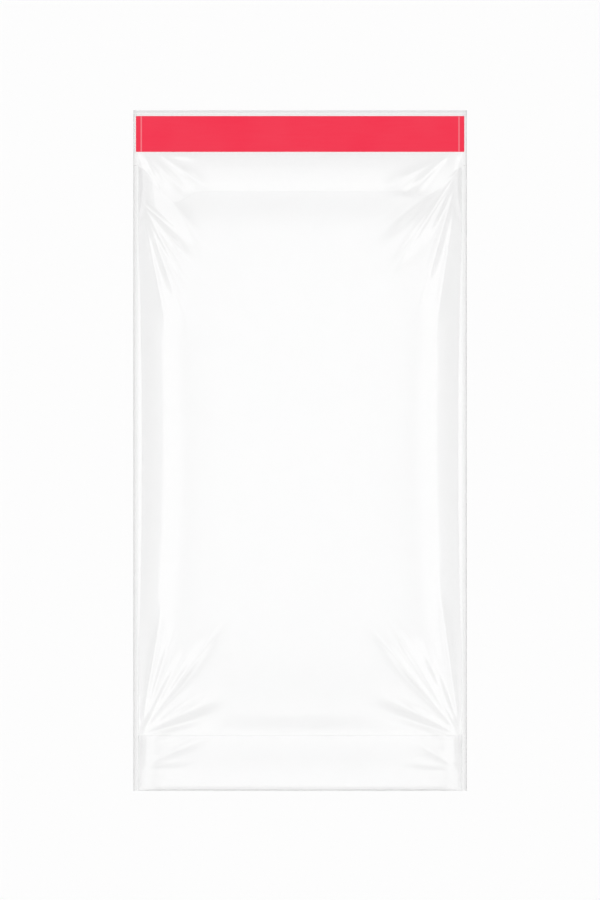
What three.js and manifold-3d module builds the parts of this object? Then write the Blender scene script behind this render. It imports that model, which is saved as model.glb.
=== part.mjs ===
// A clear film bag with a self-seal flap, lying on its back on a table.
//
// One web of film makes the whole bag. It starts at the free edge of the mouth, runs down as the
// front panel, turns up and down again as the bottom gusset, and comes back up as the back panel,
// which ends as the open flap. Hot-cut welds close both sides. A red liner covers the adhesive
// that crosses the flap.
//
// Millimetres. X runs across the bag, Y up the bag to the flap, Z up off the table.
// The origin is under the middle of the bag, on the table.

import * as THREE from 'three';
import Module from 'manifold-3d';
import { mergeVertices } from 'three/addons/utils/BufferGeometryUtils.js';

// Outline
const BAG_WIDTH = 120;
const BAG_LENGTH = 245;
const FILM = 0.05;

// Side welds
const WELD_WIDTH = 3;
const WELD_HEIGHT = 0.4;
const BEAD_WIDTH = 0.8;
const BEAD_HEIGHT = 0.6;
const WELD_BITE = 0.15;         // how far the film runs on inside the weld
const WELD_OVERRUN = 0.8;       // how far the weld's full height runs on above the mouth
const FLAT_MARGIN = 0.35;       // beside the weld, where the layers still lie flat on each other

// Mouth
const MOUTH_END = 102;          // height up the bag where the mouth's edge meets the welds
const MOUTH_MIDDLE = 93.2;
const MOUTH_CORNER_REACH = 6;   // how far from the weld the edge has dropped to its middle line
const MOUTH_DIP_AT = 13;        // distance from the weld of the low spot beside each corner
const MOUTH_DIP_REACH = 4.5;
const MOUTH_DIP_LEFT = 4;
const MOUTH_DIP_RIGHT = 1.5;
const MOUTH_FADE = 26;          // below the mouth, the rows are straight again after this distance

// Air in the pocket
const FULL_HEIGHT = 6.2;
const BULGE = 0.8;              // what the front panel gains in the middle of the pocket
const SHOULDER_MIDDLE = 11;     // over what distance the front rises from the weld, where it is fullest
const SHOULDER_END = 6;         // and at the ends of the bag
const SHOULDER_CENTRE = -9;     // where up the bag it is fullest
const SHOULDER_LENGTH = 112;
const MOUTH_DROP = 1.5;         // how far the front panel comes down again at the mouth
const MOUTH_SLOPE_REACH = 15;

// Bottom gusset
const GUSSET_DEPTH = 20;
const CREASE_HEIGHT = 2.8;      // the front panel where it passes over the gusset's inner fold
const BOTTOM_WAVE = 1.1;        // what the front panel loses between there and the bottom edge
const BOTTOM_ROUND = 0.5;       // and what it loses as it turns in to the bottom fold
const RISE_NEAR = 4;            // the front rises above the gusset in a short step
const RISE_FAR = 15;            // and in a long one
const RISE_NEAR_SHARE = 0.2;
const LEAF_REACH = 5;           // how quickly the gusset's leaves part from the weld
const BACK_LEAF_HEIGHT = 0.6;
const FRONT_LEAF_HEIGHT = 0.9;

// Film centre lines where the four layers enter the weld, from the table up
const LAYER = { back: FILM / 2, backLeaf: 0.125, frontLeaf: 0.225, front: 0.325 };

// Liner over the adhesive
const LINER_HEIGHT = 12.9;
const LINER_THICKNESS = 0.1;
const LINER_TOP_MARGIN = 2.1;
const LINER_SIDE_MARGIN = 0.9;
const LINER_CORNER = 0.3;

// Wrinkles
const RIDGE_ROOT = 0.9;         // half width of a wrinkle where it starts
const RIDGE_SPREAD = 0.045;     // and what it gains with each millimetre
const FLAP_FADE = 2;            // the flap's wrinkles start over this distance from the mouth and the liner
const FLAP_LIFT_REACH = 3;      // how quickly they stand up beside the weld

// Grid of the film
const SIDE_STEPS = [0, 1.4, 3, 4.8, 6.8, 9, 11.4, 14, 16.8, 20, 24, 29, 36, 46];
const FRONT_ROWS_TOP = 14;
const FRONT_ROWS_MIDDLE = 4;
const FRONT_ROWS_BOTTOM = 14;
const FRONT_ROWS_GUSSET = 7;
const FOLD_STEPS = 3;
const FLAP_ROWS = 7;

const halfLength = BAG_LENGTH / 2;
const weldInner = BAG_WIDTH / 2 - WELD_WIDTH;
const pocketHalf = weldInner - FLAT_MARGIN;
const creaseY = -halfLength + GUSSET_DEPTH;
const linerTop = halfLength - LINER_TOP_MARGIN;
const linerBottom = linerTop - LINER_HEIGHT;

// Fans of wrinkles that run in from the ends of the welds. Each ray is
// [direction in degrees, where it starts, where it ends, height]. A valley's height is negative.
const FLAP_FANS = [
  { at: 'left weld below the liner', apex: [-55.6, 107], rays: [
    [-64, 1, 24, 0.9],
    [-46, 1, 25, 0.55],
  ] },
  { at: 'left end of the liner', apex: [-51.8, 107.6], rays: [
    [-37, 1, 28, 0.7],
    [-10, 1, 17, 0.45],
  ] },
  { at: 'right weld below the liner', apex: [54, 107.1], rays: [
    [-137, 1, 30, 0.95],
    [-152, 4, 28, 0.55],
  ] },
];
const POCKET_FANS = [
  { at: 'left end of the mouth', apex: [-57.3, 106.7], rays: [
    [-56, 18, 38, 0.65],
  ] },
  { at: 'left weld below the mouth', apex: [-57.6, 89.9], rays: [
    [-48, 4, 34, -0.7],
    [-61, 1, 34, 0.6],
    [-69, 0.5, 46, 0.95],
    [-78, 1, 46, 0.7],
  ] },
  { at: 'right end of the mouth', apex: [57.9, 101.7], rays: [
    [-137, 8, 34, -0.65],
    [-124, 1, 50, 0.95],
    [-117, 3, 28, 0.45],
    [-107, 2, 54, 0.75],
    [-99, 6, 62, 0.7],
  ] },
  { at: 'left end of the gusset fold', apex: [-57.6, -102.4], rays: [
    [80, 6, 50, 0.7],
    [72, 6, 46, 0.5],
    [62, 0, 38, 0.6],
    [54.5, 0.5, 56, 1],
    [40, 1, 26, 0.5],
    [24, 1, 30, -0.85],
    [8, 3, 30, 0.5],
  ] },
  { at: 'left weld above the bottom', apex: [-58, -114.3], rays: [
    [26, 0.5, 32, 0.5],
    [3, 0.5, 20, -0.35],
  ] },
  { at: 'right end of the gusset fold', apex: [57.6, -102.8], rays: [
    [130, 1, 58, 0.95],
    [122, 1, 58, 0.75],
    [109, 2, 36, 0.55],
    [98, 6, 60, 0.7],
    [158, 1, 30, -0.85],
    [174, 3, 22, 0.45],
  ] },
  { at: 'right weld above the bottom', apex: [57.9, -115], rays: [
    [155, 0.5, 14, 0.4],
    [176, 0.5, 20, -0.35],
  ] },
];

const clamp01 = (v) => Math.min(1, Math.max(0, v));
const smooth = (v) => clamp01(v) ** 2 * (3 - 2 * clamp01(v));
const mix = (a, b, t) => a + (b - a) * t;
const bell = (v) => Math.exp(-v * v);
const weldDistance = (x) => Math.max(0, pocketHalf - Math.abs(x));

// Evenly spaced values from a towards b. The last one is left out unless asked for.
function spread(a, b, count, closed = false) {
  return Array.from({ length: count + (closed ? 1 : 0) }, (_, i) => mix(a, b, i / count));
}

function rayHeight(x, y, [apexX, apexY], [direction, start, end, height]) {
  const angle = THREE.MathUtils.degToRad(direction);
  const along = (x - apexX) * Math.cos(angle) + (y - apexY) * Math.sin(angle);
  if (along <= start || along >= end) return 0;
  const across = (y - apexY) * Math.cos(angle) - (x - apexX) * Math.sin(angle);
  const share = (along - start) / (end - start);
  const fade = smooth(share / 0.2) * smooth((1 - share) / 0.6);
  return height * fade * bell(across / (RIDGE_ROOT + RIDGE_SPREAD * along));
}

function wrinkles(x, y, fans) {
  let sum = 0;
  for (const { apex, rays } of fans) {
    for (const ray of rays) sum += rayHeight(x, y, apex, ray);
  }
  return sum;
}

// The free edge of the front panel, as seen from above
function mouthY(x) {
  const d = weldDistance(x);
  const dip = x < 0 ? MOUTH_DIP_LEFT : MOUTH_DIP_RIGHT;
  return MOUTH_MIDDLE + (MOUTH_END - MOUTH_MIDDLE) * bell(d / MOUTH_CORNER_REACH)
    - dip * bell((d - MOUTH_DIP_AT) / MOUTH_DIP_REACH);
}

// A smooth step up from nothing, steepest at one reach
function rise(distance, reach) {
  const t = Math.max(0, distance) / reach;
  return 1 - Math.exp(-t) * (1 + t);
}

// The front panel's height half way between the welds, before the bulge
function pocketHeight(y) {
  const above = y - creaseY;
  if (above < 0) {
    return CREASE_HEIGHT - BOTTOM_WAVE * smooth((-above - 1.5) / 13)
      - BOTTOM_ROUND * smooth((-above - 17.5) / 2.5);
  }
  const share = mix(rise(above, RISE_FAR), rise(above, RISE_NEAR), RISE_NEAR_SHARE);
  const drop = MOUTH_DROP * Math.exp(-Math.max(0, MOUTH_MIDDLE - y) / MOUTH_SLOPE_REACH);
  return mix(CREASE_HEIGHT, FULL_HEIGHT, share) - drop;
}

function frontZ(x, y) {
  const d = weldDistance(x);
  const away = y - SHOULDER_CENTRE;
  const fullness = clamp01(1 - (away / SHOULDER_LENGTH) ** 2);
  const shoulder = Math.tanh(d / mix(SHOULDER_END, SHOULDER_MIDDLE, fullness));
  const bulge = BULGE * (1 - (x / pocketHalf) ** 2 - 0.8 * (away / 100) ** 2);
  const lift = pocketHeight(y) - LAYER.front + bulge * smooth((y - creaseY) / 30);
  return LAYER.front + lift * shoulder + wrinkles(x, y, POCKET_FANS) * (1 - Math.exp(-d / 2));
}

function leafZ(x, seat, height) {
  return mix(seat, height, 1 - Math.exp(-weldDistance(x) / LEAF_REACH));
}
const backLeafZ = (x) => leafZ(x, LAYER.backLeaf, BACK_LEAF_HEIGHT);
const frontLeafZ = (x) => leafZ(x, LAYER.frontLeaf, FRONT_LEAF_HEIGHT);

// The back panel lies on the table, apart from the wrinkles that cross it above the mouth
function backZ(x, y) {
  const near = smooth((y - mouthY(x) + FLAP_FADE) / (2 * FLAP_FADE)) * smooth((linerBottom - y) / FLAP_FADE);
  const open = 1 - Math.exp(-weldDistance(x) / FLAP_LIFT_REACH);
  return LAYER.back + Math.max(0, wrinkles(x, y, FLAP_FANS)) * near * open;
}

// Half a turn between two layers at a fold. toward is -1 where the fold's edge faces down the bag.
function foldRows(x, edgeY, fromZ, toZ, toward) {
  const radius = Math.abs(fromZ - toZ) / 2;
  const middleZ = (fromZ + toZ) / 2;
  const side = Math.sign(fromZ - toZ);
  const centreY = edgeY - toward * (radius + FILM / 2);
  return spread(0, Math.PI, FOLD_STEPS, true).map((turn) => [
    centreY + toward * radius * Math.sin(turn),
    middleZ + side * radius * Math.cos(turn),
  ]);
}

// The web at one distance across the bag: [y, z] from the mouth's edge to the flap's edge
function section(x) {
  const mouth = mouthY(x);
  const bottomZ = frontZ(x, -halfLength);
  const frontFold = foldRows(x, -halfLength, bottomZ, frontLeafZ(x), -1);
  const innerFold = foldRows(x, creaseY, frontLeafZ(x), backLeafZ(x), 1);
  const backFold = foldRows(x, -halfLength, backLeafZ(x), LAYER.back, -1);
  const straight = [
    ...spread(MOUTH_MIDDLE, 48, FRONT_ROWS_TOP),
    ...spread(48, -52, FRONT_ROWS_MIDDLE),
    ...spread(-52, creaseY, FRONT_ROWS_BOTTOM),
    ...spread(creaseY, frontFold[0][0], FRONT_ROWS_GUSSET),
  ];
  const front = straight.map((y) => {
    const bent = y + (mouth - MOUTH_MIDDLE) * smooth(1 - (MOUTH_MIDDLE - y) / MOUTH_FADE);
    return [bent, frontZ(x, bent)];
  });
  const back = [
    ...spread(backFold.at(-1)[0], MOUTH_MIDDLE - 6, 2).slice(1),
    ...spread(MOUTH_MIDDLE - 6, linerBottom, FLAP_ROWS, true),
    halfLength,
  ];
  return [
    ...front,
    ...frontFold,
    ...innerFold,
    ...backFold,
    ...back.map((y) => [y, backZ(x, y)]),
  ];
}

// A closed sheet of even thickness around a grid of centre points
function sheetGeometry(grid, thickness) {
  const rows = grid.length;
  const columns = grid[0].length;
  const skin = rows * columns;
  const positions = new Float32Array(2 * skin * 3);
  const alongRow = new THREE.Vector3();
  const alongColumn = new THREE.Vector3();
  const normal = new THREE.Vector3();
  const point = new THREE.Vector3();
  grid.forEach((row, r) => row.forEach((centre, c) => {
    alongColumn.subVectors(grid[Math.min(r + 1, rows - 1)][c], grid[Math.max(r - 1, 0)][c]);
    alongRow.subVectors(row[Math.min(c + 1, columns - 1)], row[Math.max(c - 1, 0)]);
    normal.crossVectors(alongColumn, alongRow).normalize();
    const index = r * columns + c;
    point.copy(centre).addScaledVector(normal, thickness / 2).toArray(positions, 3 * index);
    point.copy(centre).addScaledVector(normal, -thickness / 2).toArray(positions, 3 * (skin + index));
  }));

  const faces = [];
  const quad = (a, b, c, d) => faces.push(a, b, c, a, c, d);
  for (let r = 0; r < rows - 1; r++) {
    for (let c = 0; c < columns - 1; c++) {
      const a = r * columns + c;
      quad(a, a + columns, a + columns + 1, a + 1);
      quad(skin + a, skin + a + 1, skin + a + columns + 1, skin + a + columns);
    }
  }
  for (let c = 0; c < columns - 1; c++) {
    const last = (rows - 1) * columns + c;
    quad(c, c + 1, skin + c + 1, skin + c);
    quad(last + 1, last, skin + last, skin + last + 1);
  }
  for (let r = 0; r < rows - 1; r++) {
    const left = r * columns;
    const right = left + columns - 1;
    quad(left + columns, left, skin + left, skin + left + columns);
    quad(right, right + columns, skin + right + columns, skin + right);
  }
  const geometry = new THREE.BufferGeometry();
  geometry.setAttribute('position', new THREE.BufferAttribute(positions, 3));
  geometry.setIndex(faces);
  return geometry;
}

function foldedWeb() {
  const edge = weldInner + WELD_BITE;
  const left = [-edge, WELD_BITE - weldInner, ...SIDE_STEPS.map((d) => d - pocketHalf)];
  const columns = [...left, 0, ...left.map((x) => -x).reverse()];
  const sections = columns.map(section);
  const grid = sections[0].map((_, r) => sections.map((rows, c) => new THREE.Vector3(columns[c], ...rows[r])));
  return sheetGeometry(grid, FILM);
}

// A weld along one side: a flat strip with a raised bead on its inner side. side is -1 or 1.
function weldGeometry(side, fromY, toY, height, beadHeight) {
  const outline = new THREE.Shape([
    new THREE.Vector2(weldInner, 0),
    new THREE.Vector2(BAG_WIDTH / 2, 0),
    new THREE.Vector2(BAG_WIDTH / 2, height),
    new THREE.Vector2(weldInner + BEAD_WIDTH, height),
    new THREE.Vector2(weldInner + BEAD_WIDTH * 0.75, beadHeight),
    new THREE.Vector2(weldInner + BEAD_WIDTH * 0.25, beadHeight),
    new THREE.Vector2(weldInner, height),
  ]);
  const geometry = new THREE.ExtrudeGeometry(outline, { depth: toY - fromY, bevelEnabled: false });
  geometry.rotateX(Math.PI / 2);
  geometry.translate(0, toY, 0);
  if (side < 0) geometry.rotateZ(Math.PI).translate(0, fromY + toY, 0);
  return geometry;
}

// The flap's side edges, where the weld has only the back panel's one layer
function flapEdgeGeometry(side) {
  const length = halfLength - MOUTH_END;
  return new THREE.BoxGeometry(WELD_WIDTH, length, FILM)
    .translate(side * (weldInner + WELD_WIDTH / 2), halfLength - length / 2, FILM / 2);
}

function linerGeometry() {
  const halfWidth = BAG_WIDTH / 2 - LINER_SIDE_MARGIN;
  const outline = new THREE.Shape();
  outline.moveTo(-halfWidth + LINER_CORNER, linerBottom);
  outline.lineTo(halfWidth - LINER_CORNER, linerBottom);
  outline.absarc(halfWidth - LINER_CORNER, linerBottom + LINER_CORNER, LINER_CORNER, -Math.PI / 2, 0);
  outline.absarc(halfWidth - LINER_CORNER, linerTop - LINER_CORNER, LINER_CORNER, 0, Math.PI / 2);
  outline.absarc(-halfWidth + LINER_CORNER, linerTop - LINER_CORNER, LINER_CORNER, Math.PI / 2, Math.PI);
  outline.absarc(-halfWidth + LINER_CORNER, linerBottom + LINER_CORNER, LINER_CORNER, Math.PI, 1.5 * Math.PI);
  return new THREE.ExtrudeGeometry(outline, { depth: LINER_THICKNESS, bevelEnabled: false, curveSegments: 4 })
    .translate(0, 0, FILM);
}

const wasm = await Module();
wasm.setup();

function toSolid(geometry) {
  const plain = geometry.clone();
  plain.deleteAttribute('normal');
  plain.deleteAttribute('uv');
  const merged = mergeVertices(plain);
  return new wasm.Manifold(new wasm.Mesh({
    numProp: 3,
    vertProperties: new Float32Array(merged.attributes.position.array),
    triVerts: new Uint32Array(merged.index.array),
  }));
}

function toGeometry(solid) {
  const { vertProperties, triVerts } = solid.getMesh();
  const geometry = new THREE.BufferGeometry();
  geometry.setAttribute('position', new THREE.BufferAttribute(vertProperties, 3));
  geometry.setIndex(new THREE.BufferAttribute(triVerts, 1));
  geometry.computeVertexNormals();
  return geometry;
}

function filmBagGeometry() {
  const joined = [-1, 1].flatMap((side) => [
    weldGeometry(side, -halfLength, MOUTH_END + WELD_OVERRUN, WELD_HEIGHT, BEAD_HEIGHT),
    flapEdgeGeometry(side),
  ]);
  return toGeometry(joined.reduce((body, piece) => body.add(toSolid(piece)), toSolid(foldedWeb())));
}

const film = new THREE.MeshStandardMaterial({
  color: 0xf6f8f8,
  roughness: 0.08,
  metalness: 0,
  transparent: true,
  opacity: 0.25,
});
const redLiner = new THREE.MeshStandardMaterial({ color: 0xf43c54, roughness: 0.45, metalness: 0 });

const filmBag = new THREE.Mesh(filmBagGeometry(), film);
filmBag.name = 'film_bag';

const liner = new THREE.Mesh(linerGeometry(), redLiner);
liner.name = 'release_liner';

const group = new THREE.Group();
group.name = 'cellophane_bag';
group.add(filmBag, liner);

export default group;
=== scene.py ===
import bpy
import numpy as np
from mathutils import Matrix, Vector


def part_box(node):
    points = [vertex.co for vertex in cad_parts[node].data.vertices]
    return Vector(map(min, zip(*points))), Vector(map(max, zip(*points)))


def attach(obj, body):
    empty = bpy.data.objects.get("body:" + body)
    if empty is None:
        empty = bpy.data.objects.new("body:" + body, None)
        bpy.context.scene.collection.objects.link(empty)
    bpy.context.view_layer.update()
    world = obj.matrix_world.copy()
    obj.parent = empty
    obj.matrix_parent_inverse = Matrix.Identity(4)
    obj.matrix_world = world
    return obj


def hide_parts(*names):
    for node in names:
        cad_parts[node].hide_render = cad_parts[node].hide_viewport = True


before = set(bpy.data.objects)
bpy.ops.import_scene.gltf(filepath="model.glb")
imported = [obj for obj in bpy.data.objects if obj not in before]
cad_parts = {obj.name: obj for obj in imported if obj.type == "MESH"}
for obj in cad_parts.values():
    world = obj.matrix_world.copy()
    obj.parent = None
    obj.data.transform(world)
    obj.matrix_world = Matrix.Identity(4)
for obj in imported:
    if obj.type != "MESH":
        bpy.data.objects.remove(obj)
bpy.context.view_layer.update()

# The bag's shapes and the places on it are in millimetres, in the frame's own axes. The studio is in
# metres.
MM = 0.001
HALF_WIDTH, HALF_LENGTH, _ = np.array(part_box("film_bag")[1]) / MM
LINER_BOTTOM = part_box("release_liner")[0][1] / MM
FILM = 0.05

# Side welds. The section runs from the bead's foot along the underside, round the cut edge and back over
# the top: distance in from the cut edge, and height. Its inner part moves out with the weld's bow.
WELD_WIDTH = 3.0
WELD_BITE = 0.15                # how far the film runs on inside the weld
FLAT_MARGIN = 0.1               # beside the weld, where the layers still lie flat on each other
WELD_INNER = HALF_WIDTH - WELD_WIDTH
POCKET_HALF = WELD_INNER - FLAT_MARGIN
WELD_BOW = 1.25
WELD_BOW_REACH = 75.0           # from the middle of the bag's length to where the bow is complete
WELD_SECTION = [
    (3.25, 0.0), (3.22, 0.0), (0.4, 0.0), (0.25, 0.01), (0.1, 0.05), (0.0, 0.16), (0.05, 0.28),
    (0.25, 0.36), (0.6, 0.38), (1.0, 0.36), (1.4, 0.345), (1.75, 0.36), (1.95, 0.41),
    (2.08, 0.45), (2.16, 0.475), (2.25, 0.48), (3.0, 0.48), (3.07, 0.475), (3.15, 0.46),
    (3.23, 0.42), (3.25, 0.36),
]
WELD_STILL_TO = 0.6
WELD_MOVED_FROM = 2.25
WELD_STEPS = 238

# Mouth
MOUTH_END = 102.0               # height up the bag where the mouth's edge meets the welds
MOUTH_MIDDLE = 93.2
MOUTH_CORNER_REACH = 6.0        # how far from the weld the edge has dropped to its middle line
MOUTH_DIP_AT = 13.0             # distance from the weld of the low spot beside each corner
MOUTH_DIP_REACH = 4.5
MOUTH_DIP_LEFT = 4.0
MOUTH_DIP_RIGHT = 1.5
MOUTH_FADE = 26.0               # below the mouth, the rows are straight again after this distance
WELD_TOP = MOUTH_END + 0.8

# Air in the pocket
FULL_HEIGHT = 6.2
BULGE = 0.8                     # what the front panel gains in the middle of the pocket
BULGE_END_LOSS = 0.8            # the share of it that is gone at this distance from the middle
BULGE_LENGTH = 100.0
BULGE_START_REACH = 30.0        # it starts at the gusset and is complete this far above it
MOUTH_DROP = 1.3                # how far the front panel comes down again at the mouth
MOUTH_SLOPE_REACH = 15.0
SHOULDER_MIDDLE = 11.0          # over what distance the front rises from the weld, where it is fullest
SHOULDER_END = 6.0              # and at the ends of the bag
SHOULDER_GUSSET = 4.5           # and over the gusset
SHOULDER_CENTRE = -9.0          # where up the bag it is fullest
SHOULDER_LENGTH = 112.0
SHOULDER_CHANGE = 6.0           # the length over which it changes at the gusset's crease

# Bottom gusset
GUSSET_DEPTH = 20.0
CREASE = -HALF_LENGTH + GUSSET_DEPTH
CREASE_HEIGHT = 2.8             # the front panel where it passes over the gusset's inner fold
BOTTOM_WAVE = 0.65              # what it loses between there and the bottom edge
BOTTOM_WAVE_START = 1.5
BOTTOM_WAVE_REACH = 13.0
BOTTOM_ROUND = 0.4              # and what it loses as it turns in to the bottom fold
BOTTOM_ROUND_START = 18.6
BOTTOM_ROUND_REACH = 1.4
RISE_START = 0.3                # above the crease the front rises in a near step and a far one
RISE_NEAR = 8.0
RISE_FAR = 19.0
RISE_NEAR_HEIGHT = 0.6
RISE_NEAR_HALF = 30.0           # half width of the near step, which is lower towards the sides
RISE_NEAR_SIDE_SHARE = 0.35
LEAF_REACH = 5.0                # how quickly the gusset's leaves part from the weld
BACK_LEAF_HEIGHT = 0.75
FRONT_LEAF_HEIGHT = 0.9

# Centre lines of the four layers of film where they enter the weld, from the table up
LAYER_BACK = FILM / 2
LAYER_BACK_LEAF = 0.125
LAYER_FRONT_LEAF = 0.225
LAYER_FRONT = 0.325

# Flap: its lift between the mouth and the liner, and the hem at its top edge
FLAP_LIFT = 1.8
FLAP_LIFT_REACH = 5.6           # how quickly it rises below the liner
FLAP_LIFT_SIDE = 1.4            # and beside the welds
FLAP_LIFT_START = 78.0          # inside the pocket the back panel lies flat up to here
FLAP_LIFT_FULL = 97.0
HEM_AT = 121.4
HEM_REACH = 0.75
HEM_HEIGHT = 0.45
HEM_ROWS_FROM = HEM_AT - 2.2

# Wrinkles run in fans from the ends of the welds. Each fan has an apex, folds that stand up as ridges, and
# slants where the film steps up or down across the ray. Each fold or slant is
# [direction in degrees, where it starts, where it ends, height, half width at its end].
FLAP_FANS = [
    ((-56.4, 107.0), [
        [-64, 1, 18, 0.75, 2.2],
    ], []),
    ((-55.0, 107.0), [
        [-46, 1, 25, 0.60, 1.6],
    ], []),
    ((-51.8, 107.6), [
        [-35, 1, 26, 0.80, 1.8],
        [-10, 1, 17, 0.60, 1.2],
    ], []),
    ((54.0, 107.1), [
        [-137, 1, 32, 1.50, 3.2],
        [-152, 4, 30, 0.85, 1.8],
    ], []),
]
POCKET_FANS = [
    ((-57.3, 106.7), [
        [-56, 12, 48, 0.65, 3.4],
    ], []),
    ((-57.6, 89.9), [
        [-61, 1, 40, 0.85, 1.4],
        [-69, 0.5, 54, 1.05, 2.4],
        [-78, 1, 52, 0.90, 1.4],
    ], [
        [-47, 1, 34, -0.60, 2.8],
    ]),
    ((57.9, 101.7), [
        [-124, 1, 56, 1.30, 2.8],
        [-117, 3, 34, 0.70, 1.1],
        [-107, 2, 60, 1.00, 2.2],
        [-99, 6, 68, 0.90, 1.6],
    ], [
        [-137, 9, 48, 0.42, 4.0],
    ]),
    ((-57.6, -102.4), [
        [80, 4, 54, 0.90, 1.4],
        [72, 6, 48, 0.70, 1.4],
        [62, 0, 40, 0.80, 1.2],
        [54, 0.5, 60, 1.35, 2.8],
        [40, 1, 28, 0.50, 1.0],
    ], [
        [21, 0.5, 36, 0.70, 3.0],
    ]),
    ((-58.0, -114.3), [
        [25, 0.5, 36, 0.42, 2.2],
    ], [
        [4, 0.5, 24, 0.11, 2.0],
    ]),
    ((57.6, -102.8), [
        [129, 1, 62, 1.10, 2.6],
        [121, 1, 60, 0.95, 1.8],
        [110, 2, 40, 0.70, 1.1],
        [98, 4, 64, 0.90, 1.6],
    ], [
        [157, 0.5, 38, -0.70, 3.0],
    ]),
    ((57.6, -100.0), [], [
        [116, 6, 42, 0.50, 2.6],
    ]),
    ((57.9, -115.0), [
        [148, 0.5, 22, 0.42, 1.8],
    ], [
        [176, 0.5, 24, -0.15, 1.8],
    ]),
]
RAY_ROOT = 0.25                 # half width of a wrinkle at its apex
RAY_GROWS_IN = 0.1              # shares of its length over which it appears and dies away
RAY_FADES_OUT = 0.6
RAY_START_SHARE = 0.35          # the share of its height that it has at first
RAY_FULL_AT = 0.5
CREST = 0.5                     # how round a fold's crest is, in half widths
WRINKLE_WELD_REACH = 0.8        # wrinkles stand up over these distances from the weld,
WRINKLE_MOUTH_REACH = 4.0       # the mouth
WRINKLE_LINER_REACH = 1.5       # and the liner

# The film's grid. Rows and columns are close where the folds are and next to each rim, where the smooth
# shading of a wide quad would tilt.
COLUMNS_AT_WELD = [0, 0.04, 0.3]
FINE_COLUMNS_START = 0.8
FINE_COLUMNS_END = 34.0
FINE_COLUMN_STEP = 0.6
MIDDLE_COLUMNS = 14
RIM_GAP = 0.03                  # beside the web's rims at the mouth and in the welds
WELD_GAP = 0.04                 # beside the welds, at their ends and at the flap's sides
TOP_ROWS_START = 0.4
TOP_ROWS_END = 48.0
BOTTOM_ROWS_START = -52.0
TOP_ROWS = 72
MIDDLE_ROWS = 30
BOTTOM_ROWS = 70
GUSSET_ROWS = 30
LEAF_SHARES = (0.02, 0.04, 0.3, 0.7, 0.96, 0.98)
FRONT_FOLD_STEPS = 8
FOLD_STEPS = 6
BACK_ROWS_AT_FOLD = [0.5, 1.0, 2.0]
BACK_ROWS_START = 10.0
BACK_ROWS = 8
LIFT_ROWS = 38
LINER_ROWS = 27
HEM_ROWS = 13

# The film's look. Grey is mixed in towards the bag's edges as painted shade, partly real haze in the welds:
# each reach is the distance from the edge at which that starts and the distance at which it is complete.
FILM_SHEEN = 0.06
FILM_TINT = (0.999, 0.999, 0.999, 1)
FILM_ROUGHNESS = 0.06
FILM_UNEVENNESS = 0.10
FILM_NOISE_SCALE = 40
FILM_CLOUD = 0.002
HAZE_AND_SHADE_GREY = (0.56, 0.56, 0.56, 1)
HAZE_AND_SHADE_ROUGHNESS = 0.5
# Painted shade: grey at the welds, the cut edges, the hem and the bottom fold; in the welds it is partly
# real haze.
WELD_HAZE_AND_SHADE = 0.10
WELD_HAZE_AND_SHADE_REACH = (2.3, 0.0)
RIM_PAINTED_SHADE = 0.12
RIM_PAINTED_SHADE_REACH = (0.4, 0.1)
HEM_PAINTED_SHADE = 0.06
HEM_PAINTED_SHADE_REACH = (2.3, 0.3)
FOLD_PAINTED_SHADE = 0.012
FOLD_PAINTED_SHADE_REACH = (0.9, 0.2)

# The liner's look. A painted highlight, a pale line, crosses it on each side, in line with the weld's bead
# below it.
LINER_RED = (0.897, 0.009, 0.053, 1)
LINER_PALE_TONE_AND_HIGHLIGHT = (0.95, 0.75, 0.78, 1)
LINER_STRETCH = 0.12
LINER_GRAIN_SCALE = 900
LINER_GRAIN_DETAIL = 3.0
LINER_GRAIN = 0.02
LINER_CLOUD_SCALE = 60
LINER_CLOUD = 0.03
LINER_ROUGHNESS = 0.42
LINER_UNEVENNESS = 0.10
LINER_BUMP = 0.25
LINER_BUMP_HEIGHT = 0.03
# Painted highlight: the pale line over each weld's bead, where the crimped film catches the light.
PAINTED_HIGHLIGHT_IN = 2.8
PAINTED_HIGHLIGHT_HALF = 0.4
PAINTED_HIGHLIGHT = 0.26

# Floor. The white that the camera sees is added to what the floor reflects, which keeps the shadow.
FLOOR_SIZE = 3.0
FLOOR_DROP = 0.00005
BACKGROUND = 0.982
FLOOR_ALBEDO = 0.86

# Light: a dome that is bright overhead and darker towards the horizon, with a soft strip on each side. The
# dome is a row of (height of the direction, brightness). The strips are placed by how far a direction leans
# sideways for its height, and end by how far it leans up or down the bag.
DOME = [
    (0.0, 0.28), (0.45, 0.14), (0.80, 0.18), (0.90, 0.34), (0.955, 0.55), (0.975, 0.74),
    (0.9875, 0.90), (0.9965, 0.985), (1.0, 1.03),
]
STRIP_IN = (0.14, 0.42)
STRIP_OUT = (0.78, 0.96)
STRIP_EDGE = (0.90, 1.60)
STRIP_EDGE_SHARE = 0.35
STRIP_ENDS = (0.35, 0.90)
STRIP_LEVEL = 1.08
STRIP_LOWEST = 0.05
STRIP_HORIZON = (0.0, 0.1)
KEY_IRRADIANCE = 0.536
KEY_SPREAD = 50

# Camera, straight above, through a long lens
CAMERA_HEIGHT = 3.0
VIEW_HEIGHT = 0.324
SENSOR = 36
PHOTO_CENTRE = (-0.00004, 0.00018)


def smooth(v):
    v = np.clip(v, 0, 1)
    return v * v * (3 - 2 * v)


def mix(a, b, t):
    return a + (b - a) * t


def bell(v):
    return np.exp(-v * v)


def weld_bow(y):
    """How much closer to the bag's edge the weld's inner side is than halfway up the bag."""
    return WELD_BOW * np.minimum(1, (y / WELD_BOW_REACH) ** 2)


def spread(y):
    """How far a point on the film moves out with the weld, as a factor of its x."""
    return 1 + weld_bow(y) / POCKET_HALF


def weld_distance(x):
    return np.maximum(0, POCKET_HALF - np.abs(x))


def ridge(v):
    """A fold's section: a narrow crest with flanks that flatten away from it."""
    return np.exp(CREST - np.sqrt(v * v + CREST * CREST))


def slant(v):
    """A step's section: steepest in the middle and level a half width to each side."""
    return v * np.exp(0.5 - v * v / 2)


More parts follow.
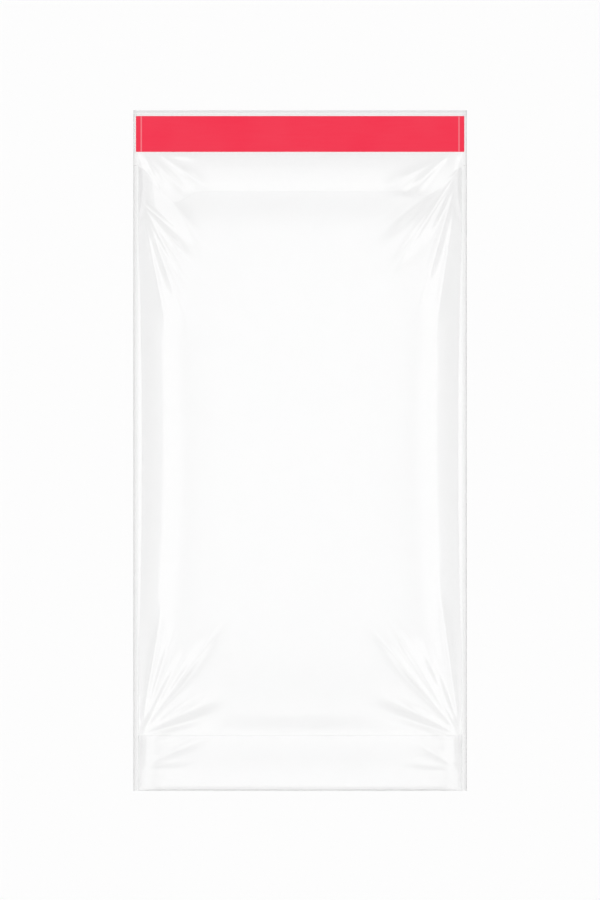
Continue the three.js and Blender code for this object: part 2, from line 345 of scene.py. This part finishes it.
def ray_height(x, y, apex, ray, section):
    direction, start, end, height, half_width = ray
    angle = np.radians(direction)
    along = (x - apex[0]) * np.cos(angle) + (y - apex[1]) * np.sin(angle)
    across = (y - apex[1]) * np.cos(angle) - (x - apex[0]) * np.sin(angle)
    share = (along - start) / (end - start)
    fade = smooth(share / RAY_GROWS_IN) * smooth((1 - share) / RAY_FADES_OUT)
    width = mix(RAY_ROOT, half_width, np.clip(along / end, 0, 1))
    growth = mix(RAY_START_SHARE, 1, smooth(share / RAY_FULL_AT))
    return height * growth * fade * section(across / width)


def wrinkles(x, y, fans):
    x = x * spread(y)
    total = np.zeros(np.broadcast(x, y).shape)
    for apex, folds, slants in fans:
        for fold in folds:
            total += ray_height(x, y, apex, fold, ridge)
        for step in slants:
            total += ray_height(x, y, apex, step, slant)
    return total


def mouth_y(x):
    d = weld_distance(x)
    dip = np.where(x < 0, MOUTH_DIP_LEFT, MOUTH_DIP_RIGHT)
    corner = (MOUTH_END - MOUTH_MIDDLE) * bell(d / MOUTH_CORNER_REACH)
    return MOUTH_MIDDLE + corner - dip * bell((d - MOUTH_DIP_AT) / MOUTH_DIP_REACH)


def rise(distance, reach):
    t = np.maximum(0, distance) / reach
    return 1 - np.exp(-t) * (1 + t)


def pocket_height(x, y):
    """The front panel's height away from the welds."""
    below = CREASE - y
    wave = BOTTOM_WAVE * smooth((below - BOTTOM_WAVE_START) / BOTTOM_WAVE_REACH)
    turn = BOTTOM_ROUND * smooth((below - BOTTOM_ROUND_START) / BOTTOM_ROUND_REACH)
    low = CREASE_HEIGHT - wave - turn
    near = RISE_NEAR_HEIGHT * mix(RISE_NEAR_SIDE_SHARE, 1, bell(x / RISE_NEAR_HALF))
    near = near * smooth((-below - RISE_START) / RISE_NEAR)
    far = (FULL_HEIGHT - CREASE_HEIGHT - near) * rise(-below, RISE_FAR)
    drop = MOUTH_DROP * np.exp(-np.maximum(0, MOUTH_MIDDLE - y) / MOUTH_SLOPE_REACH)
    return np.where(y < CREASE, low, CREASE_HEIGHT + near + far - drop)


def front_z(x, y):
    d = weld_distance(x)
    centre = np.clip(1 - ((y - SHOULDER_CENTRE) / SHOULDER_LENGTH) ** 2, 0, 1)
    reach = mix(SHOULDER_END, SHOULDER_MIDDLE, centre)
    in_gusset = smooth((CREASE + SHOULDER_CHANGE / 2 - y) / SHOULDER_CHANGE)
    reach = mix(reach, SHOULDER_GUSSET, in_gusset)
    shoulder = np.tanh(d / reach)
    ends = BULGE_END_LOSS * ((y - SHOULDER_CENTRE) / BULGE_LENGTH) ** 2
    bulge = BULGE * (1 - (x / POCKET_HALF) ** 2 - ends)
    lift = pocket_height(x, y) - LAYER_FRONT + bulge * smooth((y - CREASE) / BULGE_START_REACH)
    folds = wrinkles(x, y, POCKET_FANS) * (1 - np.exp(-d / WRINKLE_WELD_REACH))
    return LAYER_FRONT + lift * shoulder + folds


def leaf_z(x, seat, height):
    return mix(seat, height, 1 - np.exp(-weld_distance(x) / LEAF_REACH))


def back_z(x, y):
    opened = 1 - np.exp(-weld_distance(x) / FLAP_LIFT_SIDE)
    fall = np.maximum(0, LINER_BOTTOM - y)
    lifted = FLAP_LIFT * (1 - np.exp(-fall / FLAP_LIFT_REACH))
    lifted = lifted * smooth((y - FLAP_LIFT_START) / (FLAP_LIFT_FULL - FLAP_LIFT_START))
    past_mouth = smooth((y - mouth_y(x) + WRINKLE_MOUTH_REACH / 2) / WRINKLE_MOUTH_REACH)
    near = past_mouth * smooth(fall / WRINKLE_LINER_REACH)
    folds = np.maximum(0, wrinkles(x, y, FLAP_FANS)) * near
    hem = HEM_HEIGHT * bell((y - HEM_AT) / HEM_REACH)
    return LAYER_BACK + (lifted + folds) * opened + hem


def fold_rows(edge_y, from_z, to_z, toward, steps):
    """Half a turn between two layers. toward is -1 where the fold's edge faces down the bag."""
    radius = np.abs(from_z - to_z) / 2
    middle = (from_z + to_z) / 2
    side = np.sign(from_z - to_z)
    centre_y = edge_y - toward * (radius + FILM / 2)
    turns = np.linspace(0, np.pi, steps + 1)
    return [
        (centre_y + toward * radius * np.sin(turn), middle + side * radius * np.cos(turn))
        for turn in turns
    ]


def leaf_rows(from_y, to_y, z):
    """Rows across a flat leaf. The outer ones are close to its folds, so that it stays flat between."""
    return [(mix(from_y, to_y, share), z) for share in LEAF_SHARES]


def film_columns():
    """Places across the web from weld to weld, with the margins that are hidden in the welds."""
    side = np.concatenate([
        COLUMNS_AT_WELD,
        np.arange(FINE_COLUMNS_START, FINE_COLUMNS_END, FINE_COLUMN_STEP),
        np.linspace(FINE_COLUMNS_END, POCKET_HALF, MIDDLE_COLUMNS)[:-1],
    ])
    hidden = -WELD_INNER - WELD_BITE
    margin = [hidden, hidden + RIM_GAP, -POCKET_HALF - WELD_GAP]
    left = np.concatenate([margin, side - POCKET_HALF])
    return np.concatenate([left, [0], -left[::-1]])


def film_grid():
    """Centre points of the folded web, from the mouth's edge to the flap's: rows by columns by 3."""
    x = film_columns()
    mouth = mouth_y(x)
    front_leaf = leaf_z(x, LAYER_FRONT_LEAF, FRONT_LEAF_HEIGHT)
    back_leaf = leaf_z(x, LAYER_BACK_LEAF, BACK_LEAF_HEIGHT)
    front_low = front_z(x, -HALF_LENGTH)
    front_fold = fold_rows(-HALF_LENGTH, front_low, front_leaf, -1, FRONT_FOLD_STEPS)
    inner_fold = fold_rows(CREASE, front_leaf, back_leaf, 1, FOLD_STEPS)
    back_fold = fold_rows(-HALF_LENGTH, back_leaf, LAYER_BACK, -1, FOLD_STEPS)

    straight = np.concatenate([
        [MOUTH_MIDDLE, MOUTH_MIDDLE - RIM_GAP],
        np.linspace(MOUTH_MIDDLE - TOP_ROWS_START, TOP_ROWS_END, TOP_ROWS)[:-1],
        np.linspace(TOP_ROWS_END, BOTTOM_ROWS_START, MIDDLE_ROWS)[:-1],
        np.linspace(BOTTOM_ROWS_START, CREASE, BOTTOM_ROWS)[:-1],
    ])
    rows = []
    for y in straight:
        bent = y + (mouth - MOUTH_MIDDLE) * smooth(1 - (MOUTH_MIDDLE - y) / MOUTH_FADE)
        rows.append((bent, front_z(x, bent)))
    for share in np.linspace(0, 1, GUSSET_ROWS)[:-1]:
        y = mix(CREASE, front_fold[0][0], share)
        rows.append((y, front_z(x, y)))

    rows += front_fold
    rows += leaf_rows(front_fold[-1][0], inner_fold[0][0], front_leaf)
    rows += inner_fold
    rows += leaf_rows(inner_fold[-1][0], back_fold[0][0], back_leaf)
    rows += back_fold

    back = np.concatenate([
        -HALF_LENGTH + np.array(BACK_ROWS_AT_FOLD),
        np.linspace(-HALF_LENGTH + BACK_ROWS_START, FLAP_LIFT_START, BACK_ROWS)[:-1],
        np.linspace(FLAP_LIFT_START, WELD_TOP, LIFT_ROWS)[:-1],
        np.linspace(WELD_TOP, HEM_ROWS_FROM, LINER_ROWS)[:-1],
        np.linspace(HEM_ROWS_FROM, HALF_LENGTH, HEM_ROWS),
    ])
    rows += [(y, back_z(x, y)) for y in back]

    grid = np.empty((len(rows), len(x), 3))
    for r, (y, z) in enumerate(rows):
        grid[r, :, 0] = x * spread(y)
        grid[r, :, 1] = y
        grid[r, :, 2] = z

    # Above the welds the flap is as wide as the bag.
    flap = slice(len(rows) - np.count_nonzero(back >= WELD_TOP), None)
    for column, place in ((0, HALF_WIDTH), (1, HALF_WIDTH - WELD_GAP)):
        grid[flap, column, 0] = -place
        grid[flap, -1 - column, 0] = place
    return grid


def sheet_arrays(grid, thickness):
    """Vertices and quads of a closed sheet of even thickness around a grid of centre points."""
    rows, columns, _ = grid.shape
    normal = np.cross(np.gradient(grid, axis=0), np.gradient(grid, axis=1))
    normal /= np.linalg.norm(normal, axis=2, keepdims=True)
    outer = grid + normal * thickness / 2
    inner = grid - normal * thickness / 2
    vertices = np.concatenate([outer.reshape(-1, 3), inner.reshape(-1, 3)])
    skin = rows * columns
    index = np.arange(skin).reshape(rows, columns)
    a, b, c, d = index[:-1, :-1], index[1:, :-1], index[1:, 1:], index[:-1, 1:]
    top = np.stack([a, b, c, d], axis=-1).reshape(-1, 4)
    under = np.stack([a, d, c, b], axis=-1).reshape(-1, 4) + skin
    edges = [index[0], index[-1, ::-1], index[::-1, 0], index[:, -1]]
    rims = [
        np.stack([edge[:-1], edge[1:], edge[1:] + skin, edge[:-1] + skin], axis=-1)
        for edge in edges
    ]
    return vertices, np.concatenate([top, under, *rims])


def weld_arrays(side):
    """A weld along one side, swept up the bag: a bead on its inner side and a rounded cut edge."""
    section = np.array(WELD_SECTION)
    count = len(section)
    inside = np.linspace(WELD_GAP - HALF_LENGTH, WELD_TOP - WELD_GAP, WELD_STEPS)
    steps = np.concatenate([[-HALF_LENGTH], inside, [WELD_TOP]])
    moved = np.clip((section[:, 0] - WELD_STILL_TO) / (WELD_MOVED_FROM - WELD_STILL_TO), 0, 1)
    vertices = np.empty((len(steps), count, 3))
    vertices[:, :, 0] = side * (HALF_WIDTH - section[:, 0] + moved * weld_bow(steps)[:, None])
    vertices[:, :, 1] = steps[:, None]
    vertices[:, :, 2] = section[:, 1]
    index = np.arange(len(steps) * count).reshape(len(steps), count)
    after = np.roll(index, -1, axis=1)
    quads = np.stack([index[:-1], after[:-1], after[1:], index[1:]], axis=-1).reshape(-1, 4)
    faces = quads.tolist() + [index[0].tolist(), index[-1][::-1].tolist()]
    if side > 0:
        faces = [face[::-1] for face in faces]
    return vertices.reshape(-1, 3), faces


def make_piece(name, vertices, faces, material, node, slot):
    mesh = bpy.data.meshes.new(name)
    mesh.from_pydata((vertices * MM).tolist(), [], faces)
    mesh.validate()
    mesh.update()
    mesh.polygons.foreach_set("use_smooth", [True] * len(mesh.polygons))
    piece = bpy.data.objects.new(name, mesh)
    bpy.context.scene.collection.objects.link(piece)
    mesh.materials.append(material)
    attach(piece, "root")
    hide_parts(node)
    return piece


def new_material(name):
    material = bpy.data.materials.new(name)
    material.use_nodes = True
    material.node_tree.nodes.clear()
    return material, material.node_tree


def add_node(tree, kind, **settings):
    """A shader node. Each setting is one of the node's own properties or one of its sockets."""
    node = tree.nodes.new(kind)
    for key, value in settings.items():
        if hasattr(node, key) and key not in node.inputs:
            setattr(node, key, value)
        else:
            node.inputs[key].default_value = value
    return node


def math_node(tree, operation, *values):
    """A maths node. Each value is a number or an output to be linked."""
    node = add_node(tree, "ShaderNodeMath", operation=operation)
    for socket, value in zip(node.inputs, values):
        if isinstance(value, (int, float)):
            socket.default_value = value
        else:
            tree.links.new(value, socket)
    return node.outputs[0]


def range_node(tree, value, low, high, to_low=0.0, to_high=1.0):
    """A smooth change from to_low to to_high as the value goes from low to high."""
    node = tree.nodes.new("ShaderNodeMapRange")
    node.interpolation_type = "SMOOTHSTEP"
    ends = {"From Min": low, "From Max": high, "To Min": to_low, "To Max": to_high}
    for key, number in ends.items():
        node.inputs[key].default_value = number
    tree.links.new(value, node.inputs["Value"])
    return node.outputs["Result"]


def noise_node(tree, place, scale, detail=1.0):
    node = add_node(tree, "ShaderNodeTexNoise", Scale=scale, Detail=detail)
    tree.links.new(place, node.inputs["Vector"])
    return node.outputs["Fac"]


def place_nodes(tree):
    """The place on the object, in metres, whole and split into its axes."""
    place = add_node(tree, "ShaderNodeTexCoord").outputs["Object"]
    split = add_node(tree, "ShaderNodeSeparateXYZ")
    tree.links.new(place, split.inputs[0])
    return place, split.outputs


def film_reflection(tree):
    """How much the film reflects at this slant. Spread light passes the film whole, since what its layers
    reflect to each other reaches the floor in the end."""
    facing = add_node(tree, "ShaderNodeLayerWeight", Blend=0.5).outputs["Facing"]
    grazing = math_node(tree, "POWER", facing, 5.0)
    fresnel = math_node(tree, "MULTIPLY_ADD", grazing, 1 - FILM_SHEEN, FILM_SHEEN)
    path = add_node(tree, "ShaderNodeLightPath").outputs
    spread_light = math_node(tree, "MAXIMUM", path["Is Shadow Ray"], path["Is Diffuse Ray"])
    return math_node(tree, "MULTIPLY", fresnel, math_node(tree, "SUBTRACT", 1.0, spread_light))


def edge_haze_and_shade(tree, place, edge, reach, amount):
    """Grey haze and painted shade that grow to an amount as the place, in metres, comes near an edge."""
    start, full = reach
    return range_node(tree, place, (edge - start) * MM, (edge - full) * MM, 0.0, amount)


def film_haze_and_shade(tree, axes, uneven):
    """How much grey the film gets: a little haze everywhere, and painted shade at the cut edges, the hem,
    the bottom fold and in the welds, where it is partly real haze.
    """
    across = math_node(tree, "ABSOLUTE", axes["X"])
    down = math_node(tree, "MULTIPLY", axes["Y"], -1.0)
    side = edge_haze_and_shade(tree, across, HALF_WIDTH, WELD_HAZE_AND_SHADE_REACH, WELD_HAZE_AND_SHADE)
    rim = edge_haze_and_shade(tree, across, HALF_WIDTH, RIM_PAINTED_SHADE_REACH, RIM_PAINTED_SHADE)
    hem = edge_haze_and_shade(tree, axes["Y"], HALF_LENGTH, HEM_PAINTED_SHADE_REACH, HEM_PAINTED_SHADE)
    fold = edge_haze_and_shade(tree, down, HALF_LENGTH, FOLD_PAINTED_SHADE_REACH, FOLD_PAINTED_SHADE)
    ends = math_node(tree, "MAXIMUM", hem, fold)
    edges = math_node(tree, "MAXIMUM", math_node(tree, "ADD", side, rim), ends)
    return math_node(tree, "MULTIPLY_ADD", uneven, FILM_CLOUD, edges)


def mix_shaders(tree, share, first, second):
    node = add_node(tree, "ShaderNodeMixShader")
    for socket, value in zip(node.inputs, (share, first, second)):
        tree.links.new(value, socket)
    return node.outputs[0]


def film_material():
    """Clear glossy film, with grey painted shade at its cut and fused edges, partly real haze in the welds.
    """
    material, tree = new_material("clear_film")
    place, axes = place_nodes(tree)
    uneven = noise_node(tree, place, FILM_NOISE_SCALE)
    clear = add_node(tree, "ShaderNodeBsdfTransparent", Color=FILM_TINT)
    gloss = add_node(tree, "ShaderNodeBsdfGlossy", Color=(1, 1, 1, 1), Roughness=FILM_ROUGHNESS)
    roughness = math_node(tree, "MULTIPLY", uneven, FILM_UNEVENNESS)
    tree.links.new(roughness, gloss.inputs["Roughness"])
    # Grey mixed in as painted shade at the edges and folds, and as a faint haze everywhere.
    haze_and_shade_shader = add_node(tree, "ShaderNodeBsdfPrincipled", Roughness=HAZE_AND_SHADE_ROUGHNESS)
    haze_and_shade_shader.inputs["Base Color"].default_value = HAZE_AND_SHADE_GREY
    skin = mix_shaders(tree, film_reflection(tree), clear.outputs[0], gloss.outputs[0])
    whole = mix_shaders(tree, film_haze_and_shade(tree, axes, uneven), skin, haze_and_shade_shader.outputs[0])
    output = add_node(tree, "ShaderNodeOutputMaterial")
    tree.links.new(whole, output.inputs["Surface"])
    return material


def liner_material():
    """Satin red plastic with a faint grain along the strip and a painted highlight: a pale line across it
    on each side.
    """
    material, tree = new_material("red_liner")
    link = tree.links.new
    place, axes = place_nodes(tree)
    stretched = add_node(tree, "ShaderNodeMapping")
    stretched.inputs["Scale"].default_value = (LINER_STRETCH, 1, 1)
    link(place, stretched.inputs["Vector"])
    grain = noise_node(tree, stretched.outputs[0], LINER_GRAIN_SCALE, LINER_GRAIN_DETAIL)
    cloudy = noise_node(tree, place, LINER_CLOUD_SCALE)

    # Painted highlight: a pale line across the liner on each side, mixed with the grain's random tone.
    highlight_at = (HALF_WIDTH - PAINTED_HIGHLIGHT_IN) * MM
    across = math_node(tree, "ABSOLUTE", axes["X"])
    off_highlight = math_node(tree, "ABSOLUTE", math_node(tree, "SUBTRACT", across, highlight_at))
    line = range_node(tree, off_highlight, 0.0, PAINTED_HIGHLIGHT_HALF * MM, PAINTED_HIGHLIGHT, 0.0)
    tone = math_node(tree, "MULTIPLY_ADD", cloudy, LINER_CLOUD, -LINER_CLOUD / 2)
    shade = math_node(tree, "MULTIPLY_ADD", grain, LINER_GRAIN, tone)
    tone_and_highlight = math_node(tree, "ADD", line, math_node(tree, "MAXIMUM", shade, 0.0))

    red = add_node(tree, "ShaderNodeMix", data_type="RGBA")
    red.inputs["A"].default_value = LINER_RED
    red.inputs["B"].default_value = LINER_PALE_TONE_AND_HIGHLIGHT
    link(tone_and_highlight, red.inputs["Factor"])
    shader = add_node(tree, "ShaderNodeBsdfPrincipled", Roughness=LINER_ROUGHNESS)
    link(red.outputs["Result"], shader.inputs["Base Color"])
    smoothest = LINER_ROUGHNESS - LINER_UNEVENNESS / 2
    roughness = math_node(tree, "MULTIPLY_ADD", grain, LINER_UNEVENNESS, smoothest)
    link(roughness, shader.inputs["Roughness"])
    bump = add_node(tree, "ShaderNodeBump", Strength=LINER_BUMP, Distance=LINER_BUMP_HEIGHT * MM)
    link(grain, bump.inputs["Height"])
    link(bump.outputs[0], shader.inputs["Normal"])
    output = add_node(tree, "ShaderNodeOutputMaterial")
    link(shader.outputs[0], output.inputs["Surface"])
    return material


def floor_material():
    material, tree = new_material("floor")
    grey = (FLOOR_ALBEDO, FLOOR_ALBEDO, FLOOR_ALBEDO, 1)
    diffuse = add_node(tree, "ShaderNodeBsdfDiffuse", Color=grey)
    glow = add_node(tree, "ShaderNodeEmission", Color=(1, 1, 1, 1))
    path = add_node(tree, "ShaderNodeLightPath").outputs
    seen = math_node(tree, "MAXIMUM", path["Is Camera Ray"], path["Is Glossy Ray"])
    seen = math_node(tree, "MAXIMUM", seen, path["Is Transmission Ray"])
    added = math_node(tree, "MULTIPLY", seen, BACKGROUND - FLOOR_ALBEDO)
    tree.links.new(added, glow.inputs["Strength"])
    both = add_node(tree, "ShaderNodeAddShader")
    tree.links.new(diffuse.outputs[0], both.inputs[0])
    tree.links.new(glow.outputs[0], both.inputs[1])
    output = add_node(tree, "ShaderNodeOutputMaterial")
    tree.links.new(both.outputs[0], output.inputs["Surface"])
    return material


def dome_ramp(tree, height):
    ramp = add_node(tree, "ShaderNodeValToRGB")
    stops = ramp.color_ramp.elements
    for stop, (position, value) in zip(stops, (DOME[0], DOME[-1])):
        stop.position = position
        stop.color = (value, value, value, 1)
    for position, value in DOME[1:-1]:
        stops.new(position).color = (value, value, value, 1)
    tree.links.new(height, ramp.inputs[0])
    return ramp.outputs[0]


def strip_share(tree, axes):
    """How much of a direction's light is the side strips'."""
    height = math_node(tree, "MAXIMUM", axes["Z"], STRIP_LOWEST)
    lean = math_node(tree, "DIVIDE", math_node(tree, "ABSOLUTE", axes["X"]), height)
    ahead = math_node(tree, "DIVIDE", math_node(tree, "ABSOLUTE", axes["Y"]), height)
    body = range_node(tree, lean, *STRIP_OUT, 1 - STRIP_EDGE_SHARE, 0.0)
    edge = range_node(tree, lean, *STRIP_EDGE, STRIP_EDGE_SHARE, 0.0)
    outer = math_node(tree, "ADD", body, edge)
    strip = math_node(tree, "MULTIPLY", range_node(tree, lean, *STRIP_IN), outer)
    above = range_node(tree, axes["Z"], *STRIP_HORIZON)
    between = range_node(tree, ahead, *STRIP_ENDS, 1.0, 0.0)
    return math_node(tree, "MULTIPLY", strip, math_node(tree, "MULTIPLY", above, between))


def studio_world():
    world = bpy.data.worlds.new("studio")
    world.use_nodes = True
    tree = world.node_tree
    tree.nodes.clear()
    split = add_node(tree, "ShaderNodeSeparateXYZ")
    direction = add_node(tree, "ShaderNodeTexCoord").outputs["Generated"]
    tree.links.new(direction, split.inputs[0])
    dome = dome_ramp(tree, split.outputs["Z"])
    gain = math_node(tree, "SUBTRACT", STRIP_LEVEL, dome)
    light = math_node(tree, "MULTIPLY_ADD", strip_share(tree, split.outputs), gain, dome)
    path = add_node(tree, "ShaderNodeLightPath").outputs
    seen = math_node(tree, "MAXIMUM", path["Is Camera Ray"], path["Is Transmission Ray"])
    unseen = math_node(tree, "SUBTRACT", 1.0, seen)
    lit = math_node(tree, "MULTIPLY", unseen, light)
    shown = math_node(tree, "MULTIPLY_ADD", seen, BACKGROUND, lit)
    background = add_node(tree, "ShaderNodeBackground", Color=(1, 1, 1, 1))
    tree.links.new(shown, background.inputs["Strength"])
    output = add_node(tree, "ShaderNodeOutputWorld")
    tree.links.new(background.outputs[0], output.inputs["Surface"])
    return world


scene = bpy.context.scene

film = film_material()
web_vertices, web_quads = sheet_arrays(film_grid(), FILM)
web = make_piece("film_web", web_vertices, web_quads.tolist(), film, "film_bag", "clear_film")
for side, name in ((-1, "weld_left"), (1, "weld_right")):
    make_piece(name, *weld_arrays(side), film, "film_bag", "clear_film")

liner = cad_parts["release_liner"]
liner.data.materials.clear()
liner.data.materials.append(liner_material())

half = FLOOR_SIZE / 2
floor_mesh = bpy.data.meshes.new("floor")
corners = [(-half, -half), (half, -half), (half, half), (-half, half)]
floor_mesh.from_pydata([(x, y, -FLOOR_DROP) for x, y in corners], [], [(0, 1, 2, 3)])
floor_mesh.materials.append(floor_material())
floor = bpy.data.objects.new("floor", floor_mesh)
scene.collection.objects.link(floor)

scene.world = studio_world()
key_data = bpy.data.lights.new("key", "SUN")
key_data.energy = KEY_IRRADIANCE * np.pi
key_data.angle = np.radians(KEY_SPREAD)
key = bpy.data.objects.new("key", key_data)
key.visible_glossy = False
scene.collection.objects.link(key)

camera_data = bpy.data.cameras.new("camera")
camera_data.sensor_width = SENSOR
camera_data.lens = SENSOR * CAMERA_HEIGHT / VIEW_HEIGHT
camera_data.clip_end = 20
camera = bpy.data.objects.new("camera", camera_data)
camera.location = (*PHOTO_CENTRE, CAMERA_HEIGHT)
scene.collection.objects.link(camera)
scene.camera = camera

scene.view_settings.view_transform = "Standard"
# A ray passes both skins of every layer of film on its way down, and again after a reflection.
scene.cycles.transparent_max_bounces = 48
scene.cycles.diffuse_bounces = 3
scene.cycles.glossy_bounces = 3
